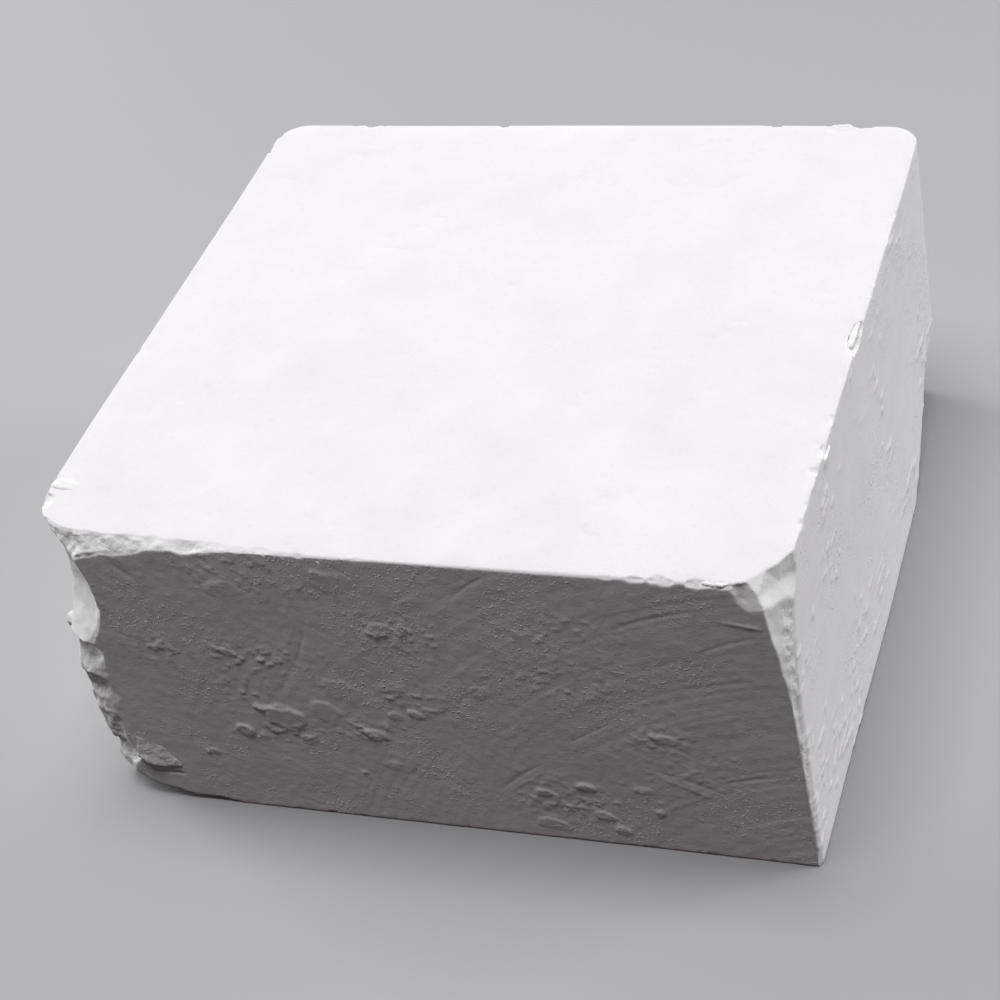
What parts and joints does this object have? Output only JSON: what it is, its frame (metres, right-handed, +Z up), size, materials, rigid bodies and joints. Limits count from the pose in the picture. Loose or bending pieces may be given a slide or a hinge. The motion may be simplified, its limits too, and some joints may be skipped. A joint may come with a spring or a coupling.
{
  "type": "gymnastics chalk block",
  "caption": "Pressed block of magnesium carbonate for drying a gymnast's hands, with chipped edges and clinging flakes.",
  "frame": {"origin": "middle of the block's footprint, on the surface it stands on", "axes": "+X along the scraped front face towards the chipped upright edge on the right, +Y from the front face to the back, +Z up"},
  "size_m": [0.0602, 0.0583, 0.0292],
  "materials": {
    "pressed_chalk": "matt pressed powder, very slightly smeared by scraping",
    "broken_chalk": "matt, freshly broken, crumbly"
  },
  "bodies": {
    "root": {"chalk_block": "pressed_chalk", "lower_left_flake": "broken_chalk", "front_right_splinter": "broken_chalk", "right_edge_sliver": "broken_chalk", "right_edge_flake": "broken_chalk", "back_edge_flake": "broken_chalk", "left_tip_lump": "broken_chalk", "left_side_crumb": "broken_chalk"}
  },
  "joints": []
}
